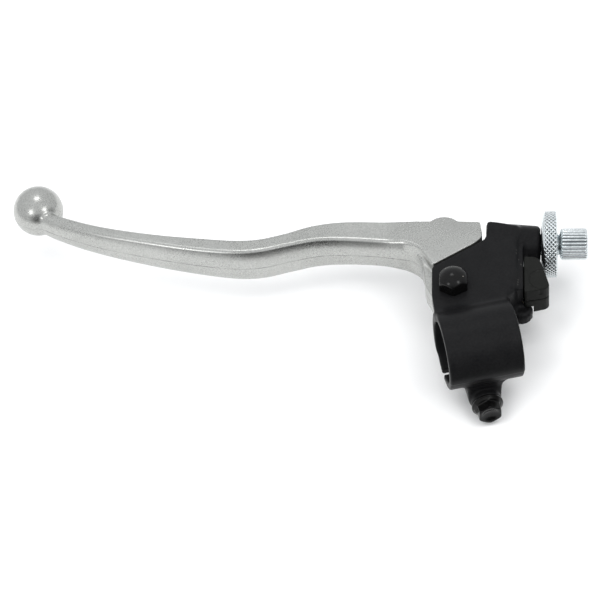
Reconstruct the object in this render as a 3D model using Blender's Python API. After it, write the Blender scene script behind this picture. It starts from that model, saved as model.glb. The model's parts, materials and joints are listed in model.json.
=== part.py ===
"""Motorcycle clutch lever on its handlebar perch, with cable adjuster and clutch switch.

Millimetres are used for the dimensions below; Blender works in metres, so every mesh is
scaled by MM as it is made. The origin is the centre of the handlebar bore. +X runs along
the handlebar towards the middle of the bike, +Y points forward, away from the rider, and
+Z runs up the lever's pivot axis. A second plan frame follows the clutch cable: (a, b) is
the distance a along the cable from the nipple towards the adjuster, and b forward of it.
"""
import math

import bmesh
import bpy
from mathutils import Matrix, Vector

MM = 0.001
ROUND = 48                      # facets round a full-size cylinder
FINE = 28                       # facets round a small cylinder

# Fits
GAP = 0.2                       # between fixed pieces that touch on the real object
RUN = 0.05                      # radial clearance of a piece that turns or slides

# Handlebar clamp
BAR_R = 11.1
RING_R = 13.8
RING_LENGTH = 27.0
SLIT = 2.5
CLAMP_Z = -18.6                 # height of the clamp bolt's axis
CLAMP_X = -0.3
EAR_R = 6.0
EAR_REAR = -12.0                # the bolt head's seat
EAR_FRONT = 9.6
CLAMP_BOLT_R = 3.0

# Perch
PLATE_TOP = 8.5
SLOT_HALF = 4.7
WEB_HALF = 6.2                  # height of the web's right flank above the middle plane
PIVOT = Vector((-3.8, 22.6))
PIVOT_R = 3.0
BUSH_R = 4.5
BOSS_START, BOSS_END = 16.1, 35.2
BOSS_R, BOSS_TIP_R = 8.35, 6.7

# Lever
HEAD_HALF = 8.4
TONGUE_HALF = 4.5
HUB_R = 8.1
NIPPLE = Vector((-1.3, 49.6))
NIPPLE_R = 4.1
NIPPLE_BOSS_R = 6.8
CABLE_SLOT = 3.0
WASHER_R = 7.2
WASHER = 0.5
BALL_R = 9.4
BALL = Vector((-145.4, 105.2))

# Cable adjuster
CABLE_TILT = math.radians(-13.7)
THREAD_R = 4.0
WHEEL_R = 12.1
WHEEL = (35.4, 37.1, 41.3)      # back face, start of the rim, front face, along the cable
KNOB_R = 5.8
KNOB = (42.2, 52.4)
FERRULE_R = 3.6
FERRULE_DEPTH = 7.0

# Clutch switch
SEAM_Z = 0.4
SWITCH_TOP, SWITCH_BOTTOM = 5.9, -5.8
PLUNGER_B = -18.9
PLUNGER_R = 1.6
PLUNGER_TIP = 13.2
SNOUT = (19.5, 29.0)
SNOUT_HALF = (4.6, 3.7)
CAVITY_HALF = (3.5, 3.0)
SWITCH_SCREW = (30.2, -26.0)

ALONG = Vector((math.cos(CABLE_TILT), math.sin(CABLE_TILT)))
FORWARD = Vector((-math.sin(CABLE_TILT), math.cos(CABLE_TILT)))

COLOURS = {                     # base colour, roughness, metallic
    "cast_aluminium": ((0.58, 0.58, 0.57), 0.38, 0.9),
    "black_casting": ((0.018, 0.018, 0.019), 0.5, 0.0),
    "black_bolt": ((0.012, 0.012, 0.012), 0.25, 0.6),
    "zinc": ((0.66, 0.72, 0.76), 0.28, 1.0),
    "steel": ((0.55, 0.55, 0.56), 0.3, 1.0),
    "black_plastic": ((0.022, 0.022, 0.021), 0.55, 0.0),
    "nylon": ((0.75, 0.74, 0.68), 0.5, 0.0),
    "brass": ((0.72, 0.52, 0.24), 0.3, 1.0),
    "rubber": ((0.02, 0.02, 0.02), 0.8, 0.0),
}


# ---------------------------------------------------------------- helpers
def material(name):
    """The Principled material of that name, made once."""
    found = bpy.data.materials.get(name)
    if found:
        return found
    colour, roughness, metallic = COLOURS[name]
    made = bpy.data.materials.new(name)
    made.use_nodes = True
    shader = made.node_tree.nodes["Principled BSDF"]
    shader.inputs["Base Color"].default_value = (*colour, 1.0)
    shader.inputs["Roughness"].default_value = roughness
    shader.inputs["Metallic"].default_value = metallic
    made.diffuse_color = (*colour, 1.0)
    return made


def cable(a, b):
    """The plan point a along the cable from the nipple and b forward of it."""
    return NIPPLE + a * ALONG + b * FORWARD


def frame_at(point, along=(0.0, 0.0, 1.0), side=(1.0, 0.0, 0.0)):
    """A matrix that puts local Z along one direction and local X along another, at a plan or 3-D point."""
    z = Vector(along).normalized()
    x = Vector(side).normalized()
    turn = Matrix((x, z.cross(x), z)).transposed().to_4x4()
    place = Vector((*point, 0.0)) if len(point) == 2 else Vector(point)
    return Matrix.Translation(place * MM) @ turn


UP = (0.0, 0.0, 1.0)
CABLE_FRAME = frame_at(NIPPLE, (*ALONG, 0.0), (*FORWARD, 0.0))
PLUNGER_FRAME = frame_at((*cable(0.0, PLUNGER_B), SEAM_Z), (*ALONG, 0.0), (*FORWARD, 0.0))
PIVOT_FRAME = frame_at(PIVOT)
NIPPLE_FRAME = frame_at(NIPPLE)
BALL_FRAME = frame_at(BALL)
SCREW_FRAME = frame_at(cable(*SWITCH_SCREW))
CLAMP_FRAME = frame_at((CLAMP_X, 0.0, CLAMP_Z), (0.0, 1.0, 0.0), (1.0, 0.0, 0.0))
BAR_FRAME = frame_at((0.0, 0.0, 0.0), (1.0, 0.0, 0.0), UP)


def solid(name, bm, place=None):
    """An object from a closed bmesh in millimetres, with its faces pointing out."""
    bmesh.ops.scale(bm, vec=(MM, MM, MM), verts=bm.verts)
    if place is not None:
        bmesh.ops.transform(bm, matrix=place, verts=bm.verts)
    bmesh.ops.recalc_face_normals(bm, faces=bm.faces)
    mesh = bpy.data.meshes.new(name)
    bm.to_mesh(mesh)
    bm.free()
    made = bpy.data.objects.new(name, mesh)
    bpy.context.collection.objects.link(made)
    return made


def loft(name, rings, place=None):
    """A solid skinned over rings of points, all of one length, with flat ends."""
    bm = bmesh.new()
    loops = [[bm.verts.new(point) for point in ring] for ring in rings]
    for low, high in zip(loops, loops[1:]):
        for i, vert in enumerate(low):
            j = (i + 1) % len(low)
            bm.faces.new((vert, low[j], high[j], high[i]))
    bm.faces.new(loops[0][::-1])
    bm.faces.new(loops[-1])
    return solid(name, bm, place)


def prism(name, outline, low, high, place=None):
    """An outline in plan, extruded from low to high."""
    return loft(name, [[(x, y, z) for x, y in outline] for z in (low, high)], place)


def block(name, low, high, place=None):
    """A box between two corners."""
    outline = [(low[0], low[1]), (high[0], low[1]), (high[0], high[1]), (low[0], high[1])]
    return prism(name, outline, low[2], high[2], place)


def cable_block(name, a, b, z):
    """A box square to the cable, from its limits along the cable, forward of it and in height."""
    outline = [cable(a[i], b[j]) for i, j in ((0, 0), (1, 0), (1, 1), (0, 1))]
    return prism(name, outline, z[0], z[1])


def turned(name, profile, place, facets=ROUND, bore=False):
    """A turned solid from (distance along the axis, radius) points.

    A solid one ends on the axis by itself; one with a bore has a profile that is a closed loop.
    """
    bm = bmesh.new()
    rings = []
    for t, radius in profile:
        angles = [2.0 * math.pi * k / facets for k in range(facets)]
        rings.append([bm.verts.new((radius * math.cos(w), radius * math.sin(w), t)) for w in angles])
    pairs = list(zip(rings, rings[1:]))
    if bore:
        pairs.append((rings[-1], rings[0]))
    for low, high in pairs:
        for i, vert in enumerate(low):
            j = (i + 1) % facets
            bm.faces.new((vert, low[j], high[j], high[i]))
    if not bore:
        bm.faces.new(rings[0][::-1])
        bm.faces.new(rings[-1])
    return solid(name, bm, place)


def rod(name, radius, low, high, place, facets=ROUND):
    """A plain cylinder along a frame's axis."""
    return turned(name, [(low, radius), (high, radius)], place, facets)


def tube(name, inner, outer, low, high, place, facets=ROUND):
    """A plain ring along a frame's axis."""
    profile = [(low, inner), (low, outer), (high, outer), (high, inner)]
    return turned(name, profile, place, facets, bore=True)


def arc(centre, radius, start, end, steps):
    """Points on an arc, angles in degrees."""
    points = []
    for k in range(steps + 1):
        angle = math.radians(start + (end - start) * k / steps)
        points.append((centre[0] + radius * math.cos(angle), centre[1] + radius * math.sin(angle)))
    return points


def hexagon(across_flats, turn=0.0):
    """The corners of a hexagon; turn 0 puts a corner at +X."""
    return arc((0.0, 0.0), across_flats / math.sqrt(3.0), turn, turn + 300.0, 5)


def combine(target, operation, others):
    """Boolean the others into the target and remove them."""
    for other in others:
        step = target.modifiers.new(operation, "BOOLEAN")
        step.operation = operation
        step.solver = "EXACT"
        step.object = other
    shape = target.evaluated_get(bpy.context.evaluated_depsgraph_get())
    mesh = bpy.data.meshes.new_from_object(shape)
    target.modifiers.clear()
    spent = target.data
    target.data = mesh
    bpy.data.meshes.remove(spent)
    for other in others:
        bpy.data.objects.remove(other)
    return target


def cut(target, *others):
    return combine(target, "DIFFERENCE", others)


def join(target, *others):
    return combine(target, "UNION", others)


def finish(target, name, material_name, origin=None):
    """Name a piece, give it its material and put its origin on its joint axis."""
    if origin is not None:
        place = Vector(origin) * MM
        target.data.transform(Matrix.Translation(-place))
        target.location = place
    target.name = name
    target.data.name = name
    target.data.materials.clear()
    target.data.materials.append(material(material_name))
    target.data.shade_smooth()
    target.data.set_sharp_from_angle(angle=math.radians(32.0))
    return target


# ---------------------------------------------------------------- perch
def plate_outline():
    """Plan of the two clevis plates, with the flank behind the adjuster boss."""
    left_end = -0.5 * RING_LENGTH + 0.3
    return [
        (left_end, 2.0), (-left_end, 2.0), (-left_end, 12.4), (17.0, 15.6),
        cable(26.4, -27.5), cable(27.0, -20.0), cable(27.0, -6.0), cable(27.0, 2.2),
        cable(BOSS_START, 3.9), (13.6, 43.4), (12.0, 41.6), (7.9, 39.7),
        (-8.6, 33.4), (-9.5, 32.6), (-12.4, 20.0), (left_end + 0.2, 13.0),
    ]


def slot_outline():
    """Plan of the space between the plates that the lever's tongue swings in."""
    hub = arc(PIVOT, HUB_R + 0.75, 270.0, 345.0, 10)
    return [(-30.0, hub[0][1])] + hub + [(13.4, 41.5), cable(BOSS_START, -6.0), cable(BOSS_START, 14.0), (-30.0, 70.0)]


def perch_body():
    half = 0.5 * RING_LENGTH
    ring = turned("ring", [(-half, RING_R - 0.5), (-half + 0.5, RING_R), (half - 0.5, RING_R), (half, RING_R - 0.5)],
                  BAR_FRAME, 72)
    plates = prism("plates", plate_outline(), -PLATE_TOP, PLATE_TOP)
    flank = prism("flank", [cable(24.0, -27.0), cable(28.8, -27.0), cable(28.8, -4.0), cable(24.0, -4.0)],
                  -WEB_HALF, WEB_HALF)
    boss = turned("boss", [(BOSS_START, BOSS_R), (BOSS_END - 1.0, BOSS_TIP_R), (BOSS_END, BOSS_TIP_R - 1.0)],
                  CABLE_FRAME)
    lug_end = cable(27.9, -27.7)
    lug_root = cable(22.0, -24.0)
    lug = prism("lug", arc(lug_end, 3.1, -120.0, 60.0, 12) + [(lug_root.x, lug_root.y + 4.0),
                                                            (lug_root.x - 4.0, lug_root.y - 4.0)],
                -PLATE_TOP, -3.0)
    ear_outline = [(-EAR_R - 0.6, -8.4), (EAR_R + 0.6, -8.4)] + arc((0.0, 0.0), EAR_R, 0.0, 180.0, 20)
    ears = prism("ears", ear_outline, -9.4, EAR_FRONT, CLAMP_FRAME)
    seat = rod("seat", EAR_R - 0.3, EAR_REAR, 0.0, CLAMP_FRAME)
    body = join(ring, plates, flank, boss, lug, ears, seat)

    reach = RING_LENGTH
    mouth = BAR_R + 0.5
    bore = turned("bore", [(-reach, mouth), (-half, mouth), (-half + 0.5, BAR_R), (half - 0.5, BAR_R),
                           (half, mouth), (reach, mouth)], BAR_FRAME, 72)
    slit = block("slit", (-reach, -0.5 * SLIT, -40.0), (reach, 0.5 * SLIT, -5.0))
    slot = prism("slot", slot_outline(), -SLOT_HALF, SLOT_HALF)
    pivot_hole = rod("pivot_hole", PIVOT_R + GAP, -12.0, 12.0, PIVOT_FRAME, FINE)
    clamp_hole = rod("clamp_hole", CLAMP_BOLT_R + GAP, -30.0, 30.0, CLAMP_FRAME, FINE)
    thread = rod("thread", THREAD_R + RUN + 0.03, 5.0, 45.0, CABLE_FRAME)
    snout = cable_block("snout", (SNOUT[0] - GAP, 45.0),
                        (PLUNGER_B - SNOUT_HALF[0] - GAP, PLUNGER_B + SNOUT_HALF[0] + GAP),
                        (SEAM_Z - SNOUT_HALF[1] - GAP, SEAM_Z + SNOUT_HALF[1] + GAP))
    plunger_hole = rod("plunger_hole", PLUNGER_R + 0.3, 5.0, SNOUT[0] + 1.0, PLUNGER_FRAME, FINE)
    screw_hole = rod("screw_hole", 1.25 + GAP, -12.0, 12.0, SCREW_FRAME, FINE)
    body = cut(body, bore, slit, slot, pivot_hole, clamp_hole, thread, snout, plunger_hole, screw_hole)
    return finish(body, "perch_body", "black_casting")


def clamp_bolt():
    seat = EAR_REAR - GAP
    shank = rod("shank", CLAMP_BOLT_R, seat - 1.0, EAR_FRONT - 0.6, CLAMP_FRAME, FINE)
    flange = turned("flange", [(seat - 1.6, 4.6), (seat - 0.6, 5.7), (seat, 5.7)], CLAMP_FRAME)
    head = loft("head", [[(0.88 * x, 0.88 * y, seat - 5.2) for x, y in hexagon(8.0, 30.0)],
                         [(x, y, seat - 4.6) for x, y in hexagon(8.0, 30.0)],
                         [(x, y, seat - 0.6) for x, y in hexagon(8.0, 30.0)]], CLAMP_FRAME)
    dimple = turned("dimple", [(seat - 6.0, 3.3), (seat - 4.5, 2.6)], CLAMP_FRAME, FINE)
    return finish(cut(join(shank, flange, head), dimple), "clamp_bolt", "black_bolt")


# ---------------------------------------------------------------- pivot
def pivot_bolt():
    seat = PLATE_TOP + GAP
    shank = rod("shank", PIVOT_R, -17.0, seat + 1.0, PIVOT_FRAME, FINE)
    head = prism("head", hexagon(10.0, -90.0 + math.degrees(CABLE_TILT)), seat, seat + 4.7, PIVOT_FRAME)
    dome = [(seat + 4.0, 5.0)]
    for k in range(7):
        angle = math.radians(90.0 * k / 6.0)
        dome.append((seat + 4.7 + 2.35 * math.sin(angle), 5.0 * math.cos(angle) + 0.01))
    crown = turned("crown", dome, PIVOT_FRAME, FINE)
    return finish(join(shank, head, crown), "pivot_bolt", "black_bolt")


def pivot_stack():
    """The bush, the two thrust washers, and the washer, nut and nylon ring below."""
    half = SLOT_HALF - 0.1
    finish(tube("bush", PIVOT_R + RUN, BUSH_R, -half, half, PIVOT_FRAME), "pivot_bush", "steel")
    for side, name in ((1.0, "thrust_washer_upper"), (-1.0, "thrust_washer_lower")):
        limits = sorted((side * (TONGUE_HALF - WASHER), side * (TONGUE_HALF + 0.05)))
        ring = tube("ring", BUSH_R + GAP, WASHER_R, limits[0], limits[1], PIVOT_FRAME)
        finish(ring, name, "nylon", (PIVOT.x, PIVOT.y, 0.0))
    under = -PLATE_TOP - GAP
    washer = tube("washer", PIVOT_R + GAP, 6.2, under - 1.0, under, PIVOT_FRAME)
    finish(washer, "pivot_washer", "zinc")
    top = under - 1.0 - GAP
    nut = prism("nut", hexagon(10.0), top - 5.4, top, PIVOT_FRAME)
    hole = rod("hole", PIVOT_R + GAP, top - 9.0, top + 3.0, PIVOT_FRAME, FINE)
    pocket = rod("pocket", 4.2, top - 9.0, top - 3.9, PIVOT_FRAME, FINE)
    finish(cut(nut, hole, pocket), "pivot_locknut", "zinc")
    insert = tube("insert", PIVOT_R + 0.1, 4.0, top - 5.3, top - 4.1, PIVOT_FRAME, FINE)
    finish(insert, "pivot_locknut_insert", "nylon")


# ---------------------------------------------------------------- lever
# Middle of the blade in plan, width of its flat top, and height, from the ball to the head
BLADE = [
    (-146.5, 101.2, 3.4, 9.6), (-137.9, 93.4, 3.6, 10.6), (-124.8, 84.3, 4.0, 11.8),
    (-107.0, 74.7, 4.7, 13.4), (-90.0, 67.0, 5.9, 14.3), (-76.8, 61.9, 6.2, 15.2),
    (-67.6, 60.1, 6.1, 15.7), (-57.5, 60.5, 6.2, 15.5), (-47.0, 61.2, 7.6, 15.0),
    (-36.5, 59.8, 8.9, 14.5), (-23.0, 56.1, 10.2, 14.0), (-14.0, 53.0, 11.6, 14.8),
    (-7.0, 50.2, 11.6, 16.6),
]
BULGE = 1.6                     # how far the blade's front and rear faces stand out
BLADE_STEPS = 3


def blade_at(position):
    """Catmull-Rom reading of BLADE at a position counted in stations."""
    i = min(int(position), len(BLADE) - 2)
    t = position - i
    rows = [BLADE[max(i - 1, 0)], BLADE[i], BLADE[i + 1], BLADE[min(i + 2, len(BLADE) - 1)]]
    values = []
    for p0, p1, p2, p3 in zip(*rows):
        values.append(0.5 * (2 * p1 + (p2 - p0) * t + (2 * p0 - 5 * p1 + 4 * p2 - p3) * t ** 2
                             + (3 * p1 - p0 - 3 * p2 + p3) * t ** 3))
    return values


def blade_section(position):
    """One ring of the blade: flat top and bottom, bulging front and rear."""
    x, y, width, height = blade_at(position)
    before = blade_at(max(position - 0.1, 0.0))
    after = blade_at(min(position + 0.1, len(BLADE) - 1.0))
    direction = Vector((after[0] - before[0], after[1] - before[1])).normalized()
    normal = Vector((-direction.y, direction.x))
    levels = (1.0, 0.86, 0.45, 0.0, -0.45, -0.86, -1.0)
    ring = []
    for side in (1.0, -1.0):
        for level in levels if side > 0 else reversed(levels):
            corner = 0.15 if abs(level) == 1.0 else 0.0
            n = side * (0.5 * width - corner + BULGE * (1.0 - level ** 2))
            ring.append((x + n * normal.x, y + n * normal.y, 0.5 * height * level))
    return ring


def head_outline():
    """Plan of the thick head between the blade and the cable end."""
    bump = arc(NIPPLE, NIPPLE_BOSS_R, 128.0, 28.0, 12)
    return ([(-12.5, 44.2), (-14.6, 47.5), (-13.4, 56.9)] + bump + [
        (12.6, 50.4), (11.8, 43.8), (11.0, 42.6), (8.4, 40.9), (-8.8, 34.3),
        (-9.6, 37.0), (-10.8, 40.6)])


def tongue_outline():
    """Plan of the tongue between the plates, with the heel that shows beside the perch."""
    hub = arc(PIVOT, HUB_R, 195.0, 345.0, 18)
    return hub + [(11.9, 43.0), (8.0, 47.0), (-8.0, 50.0), (-13.0, 46.0), (-11.9, 39.5), (-11.9, 35.5),
                  (-12.7, 30.5), (-12.8, 27.5), (-12.1, 24.0)]


def lever_blade():
    count = (len(BLADE) - 1) * BLADE_STEPS
    blade = loft("blade", [blade_section(k / BLADE_STEPS) for k in range(count + 1)])
    profile = []
    for k in range(25):
        angle = math.radians(-89.0 + 178.0 * k / 24.0)
        profile.append((BALL_R * math.sin(angle), BALL_R * math.cos(angle)))
    ball = turned("ball", profile, BALL_FRAME, ROUND)
    head = prism("head", head_outline(), -HEAD_HALF, HEAD_HALF)
    tongue = prism("tongue", tongue_outline(), -TONGUE_HALF, TONGUE_HALF)
    lever = join(blade, ball, head, tongue)

    bore = rod("bore", BUSH_R + RUN + 0.02, -10.0, 10.0, PIVOT_FRAME)
    recesses = [rod("recess", WASHER_R + GAP, low, low + 6.0, PIVOT_FRAME)
                for low in (TONGUE_HALF - WASHER - 0.1, -TONGUE_HALF + WASHER + 0.1 - 6.0)]
    pocket = rod("pocket", NIPPLE_R, -12.0, 4.6, NIPPLE_FRAME)
    slot = cable_block("slot", (0.0, 20.0), (-0.5 * CABLE_SLOT, 0.5 * CABLE_SLOT), (-12.0, 1.6))
    lever = cut(lever, *recesses, bore, pocket, slot)
    return finish(lever, "lever_blade", "cast_aluminium", (PIVOT.x, PIVOT.y, 0.0))


# ---------------------------------------------------------------- cable adjuster
def knurled(name, radius, depth, ridges, low, high, chamfer):
    """A disc along the cable with straight ridges round its rim and chamfered ends."""
    def ring(t, shrink):
        points = []
        for k in range(2 * ridges):
            angle = math.pi * k / ridges
            r = radius - shrink - (depth if k % 2 else 0.0)
            points.append((r * math.cos(angle), r * math.sin(angle), t))
        return points

    rings = [ring(low, chamfer[0]), ring(low + chamfer[0], 0.0)]
    rings += [ring(high - chamfer[1], 0.0), ring(high, chamfer[1])]
    return loft(name, rings, CABLE_FRAME)


def adjuster():
    """The knurled locknut and the threaded barrel with its knob."""
    nut = knurled("nut", WHEEL_R, 0.35, 60, WHEEL[0], WHEEL[2], (WHEEL[1] - WHEEL[0], 0.6))
    hole = rod("hole", THREAD_R + RUN + 0.03, 30.0, 45.0, CABLE_FRAME)
    finish(cut(nut, hole), "adjuster_locknut", "zinc", (*cable(WHEEL[0], 0.0), 0.0))

    stem = rod("stem", THREAD_R, 19.0, KNOB[0] + 1.0, CABLE_FRAME)
    knob = knurled("knob", KNOB_R, 0.35, 26, KNOB[0], KNOB[1], (0.8, 0.8))
    cable_hole = rod("cable_hole", 1.8, 10.0, 60.0, CABLE_FRAME, FINE)
    socket = rod("socket", FERRULE_R, KNOB[1] - FERRULE_DEPTH, 60.0, CABLE_FRAME)
    barrel = cut(join(stem, knob), cable_hole, socket)
    finish(barrel, "adjuster_barrel", "zinc", (*cable(KNOB[0], 0.0), 0.0))


# ---------------------------------------------------------------- clutch switch
def switch_outline():
    corners = [(29.1, -28.2), (33.5, -27.4), (37.1, -26.4), (38.2, -25.0), (36.5, -18.2), (35.2, -13.4),
               (33.4, -11.2), (29.1, -10.9)]
    return [cable(a, b) for a, b in corners]


def switch_case(name, low, high):
    """One half of the case: the block outside the perch and its half of the snout."""
    outer = prism("outer", switch_outline(), low, high)
    reach = (max(low, SEAM_Z - SNOUT_HALF[1]), min(high, SEAM_Z + SNOUT_HALF[1]))
    snout = cable_block("snout", (SNOUT[0], SNOUT[1] + 1.0),
                        (PLUNGER_B - SNOUT_HALF[0], PLUNGER_B + SNOUT_HALF[0]), reach)
    case = join(outer, snout)
    cavity = cable_block("cavity", (SNOUT[0] + 1.6, 34.6),
                         (PLUNGER_B - CAVITY_HALF[0], PLUNGER_B + CAVITY_HALF[0]),
                         (SEAM_Z - CAVITY_HALF[1], SEAM_Z + CAVITY_HALF[1]))
    guide = rod("guide", PLUNGER_R + RUN, 10.0, 25.0, PLUNGER_FRAME, FINE)
    seal = rod("seal", 2.8, 10.0, SNOUT[0] + 0.9, PLUNGER_FRAME, FINE)
    hole = rod("hole", 1.25 + GAP, -12.0, 4.4, SCREW_FRAME, FINE)
    return cut(case, cavity, guide, seal, hole)


def switch_cases():
    upper = switch_case("upper", SEAM_Z + 0.1, SWITCH_TOP)
    finish(upper, "switch_case_upper", "black_plastic")
    lower = switch_case("lower", SWITCH_BOTTOM, SEAM_Z - 0.1)
    notch = cable_block("notch", (25.0, 31.8), (-35.0, -23.6), (-10.0, -2.8))
    slots = [cable_block("slot", (29.8, 33.4), (b - 0.5, b + 0.5), (-10.0, 0.0)) for b in terminal_rows()]
    finish(cut(lower, notch, *slots), "switch_case_lower", "black_plastic")


def terminal_rows():
    return (PLUNGER_B + 2.8, PLUNGER_B - 2.8)


def switch_plunger():
    profile = [(PLUNGER_TIP, 1.0), (PLUNGER_TIP + 0.6, PLUNGER_R), (23.2, PLUNGER_R), (23.2, 2.6), (24.4, 2.6)]
    start = cable(PLUNGER_TIP, PLUNGER_B)
    origin = (start.x, start.y, SEAM_Z)
    finish(turned("plunger", profile, PLUNGER_FRAME, FINE), "switch_plunger", "nylon", origin)
    bridge = cable_block("bridge", (24.5, 25.0), (PLUNGER_B - 3.3, PLUNGER_B + 3.3), (SEAM_Z - 1.2, SEAM_Z + 1.2))
    finish(bridge, "switch_contact_bridge", "brass", origin)
    seal = tube("seal", PLUNGER_R + 0.1, 2.65, SNOUT[0], SNOUT[0] + 0.8, PLUNGER_FRAME, FINE)
    finish(seal, "switch_plunger_seal", "rubber")


def switch_terminals():
    for b, name in zip(terminal_rows(), ("switch_terminal_front", "switch_terminal_rear")):
        finger = cable_block("finger", (25.2, 33.2), (b - 0.3, b + 0.3), (SEAM_Z - 1.2, SEAM_Z + 1.2))
        blade = cable_block("blade", (30.0, 33.2), (b - 0.3, b + 0.3), (-10.5, SEAM_Z))
        finish(join(finger, blade), name, "brass")


def switch_spring():
    """A wire helix between the contact bridge and the back of the case."""
    coil_r, wire_r, turns, start, length, sides = 1.7, 0.22, 7, 25.4, 8.6, 6
    steps = turns * 12
    rings = []
    for k in range(steps + 1):
        angle = 2.0 * math.pi * turns * k / steps
        out = Vector((math.cos(angle), math.sin(angle), 0.0))
        centre = coil_r * out + Vector((0.0, 0.0, start + length * k / steps))
        ring = []
        for i in range(sides):
            w = 2.0 * math.pi * i / sides
            ring.append(centre + wire_r * (math.cos(w) * out + math.sin(w) * Vector((0.0, 0.0, 1.0))))
        rings.append(ring)
    finish(loft("spring", rings, PLUNGER_FRAME), "switch_spring", "steel")


def switch_screw():
    shank = rod("shank", 1.25, -PLATE_TOP - GAP - 0.5, 4.0, SCREW_FRAME, FINE)
    head = turned("head", [(-PLATE_TOP - 2.1, 1.6), (-PLATE_TOP - 1.4, 2.3), (-PLATE_TOP - GAP, 2.4)],
                  SCREW_FRAME, FINE)
    bars = [block("bar", (-w, -h, -20.0), (w, h, -PLATE_TOP - 1.3), SCREW_FRAME)
            for w, h in ((1.5, 0.28), (0.28, 1.5))]
    finish(cut(join(shank, head), *bars), "switch_screw", "zinc")


def main():
    for old in list(bpy.data.objects):
        bpy.data.objects.remove(old)
    perch_body()
    clamp_bolt()
    pivot_bolt()
    pivot_stack()
    lever_blade()
    adjuster()
    switch_cases()
    switch_plunger()
    switch_terminals()
    switch_spring()
    switch_screw()


main()
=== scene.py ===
"""Looks of the motorcycle clutch lever: cast surfaces, knurls, threads, finishes, light and camera.

Shapes are written in millimetres in the CAD's own axes: +X along the handlebar, +Y away from
the rider, +Z up the pivot. Cast and moulded pieces are signed-distance shapes skinned by
surface nets, so their edges and fillets are real geometry; turned pieces are swept grids.
"""
import json
import math

import bpy
import numpy as np
from mathutils import Matrix, Vector


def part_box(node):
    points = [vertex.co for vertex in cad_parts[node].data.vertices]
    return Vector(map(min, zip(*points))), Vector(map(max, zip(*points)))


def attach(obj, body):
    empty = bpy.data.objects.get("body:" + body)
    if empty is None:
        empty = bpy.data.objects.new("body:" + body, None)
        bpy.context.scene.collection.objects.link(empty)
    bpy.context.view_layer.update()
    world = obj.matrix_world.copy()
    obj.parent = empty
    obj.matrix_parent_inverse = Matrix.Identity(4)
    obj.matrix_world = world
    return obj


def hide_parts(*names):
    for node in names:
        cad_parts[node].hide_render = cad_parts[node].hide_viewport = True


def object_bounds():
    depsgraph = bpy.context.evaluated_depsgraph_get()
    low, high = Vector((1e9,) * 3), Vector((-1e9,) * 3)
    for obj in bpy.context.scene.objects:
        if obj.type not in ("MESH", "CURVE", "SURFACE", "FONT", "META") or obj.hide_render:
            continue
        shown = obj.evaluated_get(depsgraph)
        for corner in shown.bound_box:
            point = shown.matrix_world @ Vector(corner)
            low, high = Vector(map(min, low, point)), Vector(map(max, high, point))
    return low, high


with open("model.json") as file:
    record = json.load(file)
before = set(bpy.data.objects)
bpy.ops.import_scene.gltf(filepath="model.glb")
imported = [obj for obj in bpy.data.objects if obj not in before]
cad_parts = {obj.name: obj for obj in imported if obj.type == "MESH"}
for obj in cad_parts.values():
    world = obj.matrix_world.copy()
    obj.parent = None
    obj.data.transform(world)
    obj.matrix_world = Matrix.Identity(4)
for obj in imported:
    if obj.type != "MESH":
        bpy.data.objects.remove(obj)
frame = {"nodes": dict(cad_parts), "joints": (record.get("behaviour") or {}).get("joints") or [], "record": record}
CAD_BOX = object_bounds()
MM = 0.001
JOINTS = {joint["name"]: joint for joint in frame["joints"]}


# ---------------------------------------------------------------- what the frame says, in mm
def plan(vector):
    """The X and Y of a joint's point or axis."""
    return np.array(vector[:2], float)


def extent(node):
    """Lowest and highest corner of a CAD node, in millimetres."""
    low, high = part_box(node)
    return np.array(low) / MM, np.array(high) / MM


PIVOT = plan(JOINTS["lever_pivot"]["pos_m"]) / MM
ALONG = plan(JOINTS["barrel_slide"]["axis"])
FORWARD = np.array([-ALONG[1], ALONG[0]])
WHEEL_BACK = plan(JOINTS["locknut_spin"]["pos_m"]) / MM
OPENINGS = {o["name"]: np.array(o["box_m"]) / MM for o in frame["record"]["physics"]["openings"]}
NIPPLE = OPENINGS["cable_nipple_pocket"].mean(axis=0)[:2]
WHEEL_A = float(np.dot(WHEEL_BACK - NIPPLE, ALONG))


def cable(a, b):
    """The plan point a along the cable from the nipple and b forward of it."""
    return NIPPLE + a * ALONG + b * FORWARD


# ---------------------------------------------------------------- signed distances
def both(a, b, k):
    """The nearer of two shapes, with a fillet of size k between them."""
    h = np.clip(0.5 + 0.5 * (b - a) / k, 0.0, 1.0)
    return b + (a - b) * h - k * h * (1.0 - h)


def common(a, b, k):
    """What two shapes share, with its edge rounded by k."""
    return -both(-a, -b, k)


def without(a, b, k):
    """The first shape less the second, with the edge rounded by k."""
    return -both(-a, b, k)


def rounded(side, end, r):
    """A wall distance and an end distance joined by a rounded edge of radius r."""
    side, end = side + r, end + r
    outside = np.hypot(np.maximum(side, 0.0), np.maximum(end, 0.0))
    return np.minimum(np.maximum(side, end), 0.0) + outside - r


def between(t, low, high):
    """Distance past either end of a span, negative inside it."""
    return np.abs(t - 0.5 * (low + high)) - 0.5 * (high - low)


def ball(p, centre, radius):
    return np.sqrt(sum((p[i] - centre[i]) ** 2 for i in range(3))) - radius


def outline_distance(x, y, points):
    """Signed distance in plan to a closed outline, negative inside."""
    best = np.full(np.broadcast(x, y).shape, 1e9)
    inside = np.zeros(best.shape, bool)
    for (ax, ay), (bx, by) in zip(points, points[1:] + points[:1]):
        ex, ey = bx - ax, by - ay
        t = np.clip(((x - ax) * ex + (y - ay) * ey) / (ex * ex + ey * ey), 0.0, 1.0)
        best = np.minimum(best, np.hypot(x - ax - t * ex, y - ay - t * ey))
        crosses = (ay > y) != (by > y)
        with np.errstate(divide="ignore", invalid="ignore"):
            left = x < ax + (y - ay) * ex / (ey if ey else 1e-9)
        inside ^= crosses & left
    return np.where(inside, -best, best)


def slab(p, points, low, high, r):
    """An outline extruded in Z from low to high, with its edges rounded by r."""
    return rounded(outline_distance(p[0], p[1], points), between(p[2], low, high), r)


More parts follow.
